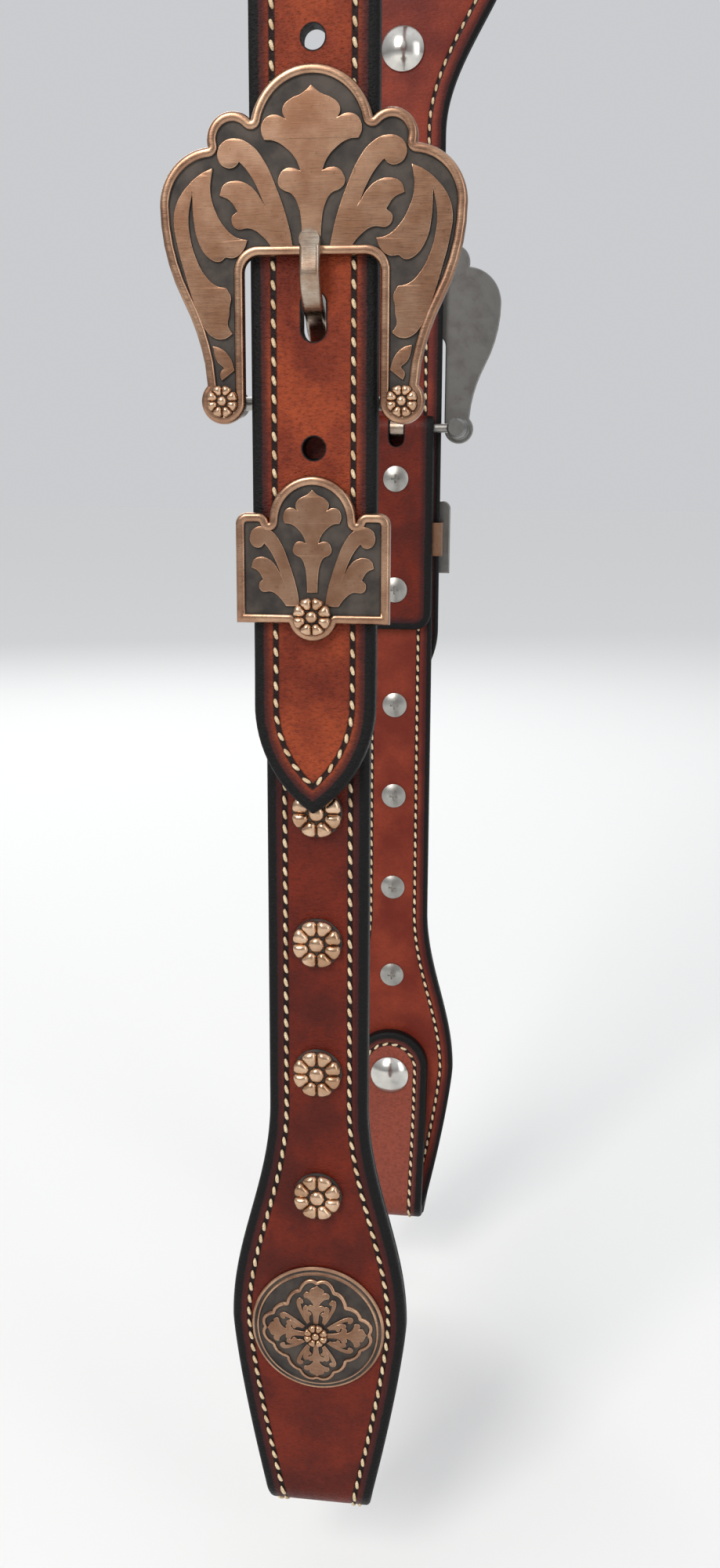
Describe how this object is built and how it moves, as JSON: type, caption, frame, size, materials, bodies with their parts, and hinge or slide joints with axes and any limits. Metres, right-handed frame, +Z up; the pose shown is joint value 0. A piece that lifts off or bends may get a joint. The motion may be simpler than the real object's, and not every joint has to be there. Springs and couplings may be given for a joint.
{
  "type": "western headstall",
  "caption": "Double-ear western headstall in stitched leather, with engraved buckles, keepers and conchos, hanging from its crown; folded loops below take a bit's rings.",
  "frame": {"origin": "underside of the crown at the poll, midway between the two cheeks", "axes": "+Z up; +Y from the near cheek to the far cheek; X across the straps"},
  "size_m": [0.067, 0.1706, 0.5708],
  "materials": {
    "leather": "reddish chestnut bridle leather, waxed, fine grain, burnished black edges",
    "lining_leather": "smooth chestnut lining leather",
    "antique_copper": "antiqued copper: brushed raised work over a dark recessed ground",
    "polished_nickel": "polished nickel plate"
  },
  "bodies": {
    "near_side": {"crown_outer_near": "leather", "crown_lining_near": "lining_leather", "crown_concho_near": "antique_copper", "crown_concho_rosette_near": "antique_copper", "crown_cap_near": "polished_nickel", "cheek_outer_near": "leather", "cheek_lining_near": "lining_leather", "turnback_posts_near": "polished_nickel", "turnback_screws_near": "polished_nickel", "berry_conchos_near": "antique_copper", "berry_screws_near": "polished_nickel", "cheek_concho_near": "antique_copper", "cheek_concho_rosette_near": "antique_copper"},
    "near_buckle": {"buckle_frame_near": "antique_copper", "buckle_bar_near": "polished_nickel", "buckle_rosettes_near": "antique_copper"},
    "near_tongue": {"buckle_tongue_near": "antique_copper"},
    "near_keeper": {"keeper_plate_near": "antique_copper", "keeper_band_near": "antique_copper", "keeper_rosette_near": "antique_copper"},
    "near_cap": {"bit_cap_near": "polished_nickel"},
    "near_tab": {"bit_tab_outer_near": "leather", "bit_tab_lining_near": "lining_leather"},
    "far_side": {"crown_outer_far": "leather", "crown_lining_far": "lining_leather", "crown_concho_far": "antique_copper", "crown_concho_rosette_far": "antique_copper", "crown_cap_far": "polished_nickel", "cheek_outer_far": "leather", "cheek_lining_far": "lining_leather", "turnback_posts_far": "polished_nickel", "turnback_screws_far": "polished_nickel", "berry_conchos_far": "antique_copper", "berry_screws_far": "polished_nickel", "cheek_concho_far": "antique_copper", "cheek_concho_rosette_far": "antique_copper"},
    "far_buckle": {"buckle_frame_far": "antique_copper", "buckle_bar_far": "polished_nickel", "buckle_rosettes_far": "antique_copper"},
    "far_tongue": {"buckle_tongue_far": "antique_copper"},
    "far_keeper": {"keeper_plate_far": "antique_copper", "keeper_band_far": "antique_copper", "keeper_rosette_far": "antique_copper"},
    "far_cap": {"bit_cap_far": "polished_nickel"},
    "far_tab": {"bit_tab_outer_far": "leather", "bit_tab_lining_far": "lining_leather"}
  },
  "joints": [
    {"name": "crown_flex", "type": "hinge", "parent": "near_side", "child": "far_side", "pos_m": [0, 0, 0.0022], "axis": [1, 0, 0], "range_deg": [-10, 50], "stiffness_Nm_per_rad": 0.5, "springref_deg": 14.32},
    {"name": "near_buckle_tilt", "type": "hinge", "parent": "near_side", "child": "near_buckle", "pos_m": [0, -0.07237, -0.31], "axis": [1, 0, 0], "range_deg": [0, 3]},
    {"name": "near_tongue_lift", "type": "hinge", "parent": "near_buckle", "child": "near_tongue", "pos_m": [0, -0.07237, -0.31], "axis": [1, 0, 0], "range_deg": [0, 5]},
    {"name": "near_keeper_slide", "type": "slide", "parent": "near_side", "child": "near_keeper", "axis": [0, 0, 1], "range_m": [-0.004, 0.008]},
    {"name": "near_cap_out", "type": "slide", "parent": "near_side", "child": "near_cap", "axis": [0, 1, 0], "range_m": [0, 0.009]},
    {"name": "near_tab_open", "type": "hinge", "parent": "near_side", "child": "near_tab", "pos_m": [0, -0.06885, -0.55985], "axis": [-1, 0, 0], "range_deg": [0, 10.1]},
    {"name": "far_buckle_tilt", "type": "hinge", "parent": "far_side", "child": "far_buckle", "pos_m": [0, 0.07237, -0.31], "axis": [-1, 0, 0], "range_deg": [0, 3]},
    {"name": "far_tongue_lift", "type": "hinge", "parent": "far_buckle", "child": "far_tongue", "pos_m": [0, 0.07237, -0.31], "axis": [-1, 0, 0], "range_deg": [0, 5]},
    {"name": "far_keeper_slide", "type": "slide", "parent": "far_side", "child": "far_keeper", "axis": [0, 0, 1], "range_m": [-0.004, 0.008]},
    {"name": "far_cap_out", "type": "slide", "parent": "far_side", "child": "far_cap", "axis": [0, -1, 0], "range_m": [0, 0.009]},
    {"name": "far_tab_open", "type": "hinge", "parent": "far_side", "child": "far_tab", "pos_m": [0, 0.06885, -0.55985], "axis": [1, 0, 0], "range_deg": [0, 10.1]}
  ],
  "couplings": [
    {"joint": "near_tab_open", "follows": "near_cap_out", "rad_per_m": 19.392},
    {"joint": "far_tab_open", "follows": "far_cap_out", "rad_per_m": 19.392}
  ]
}
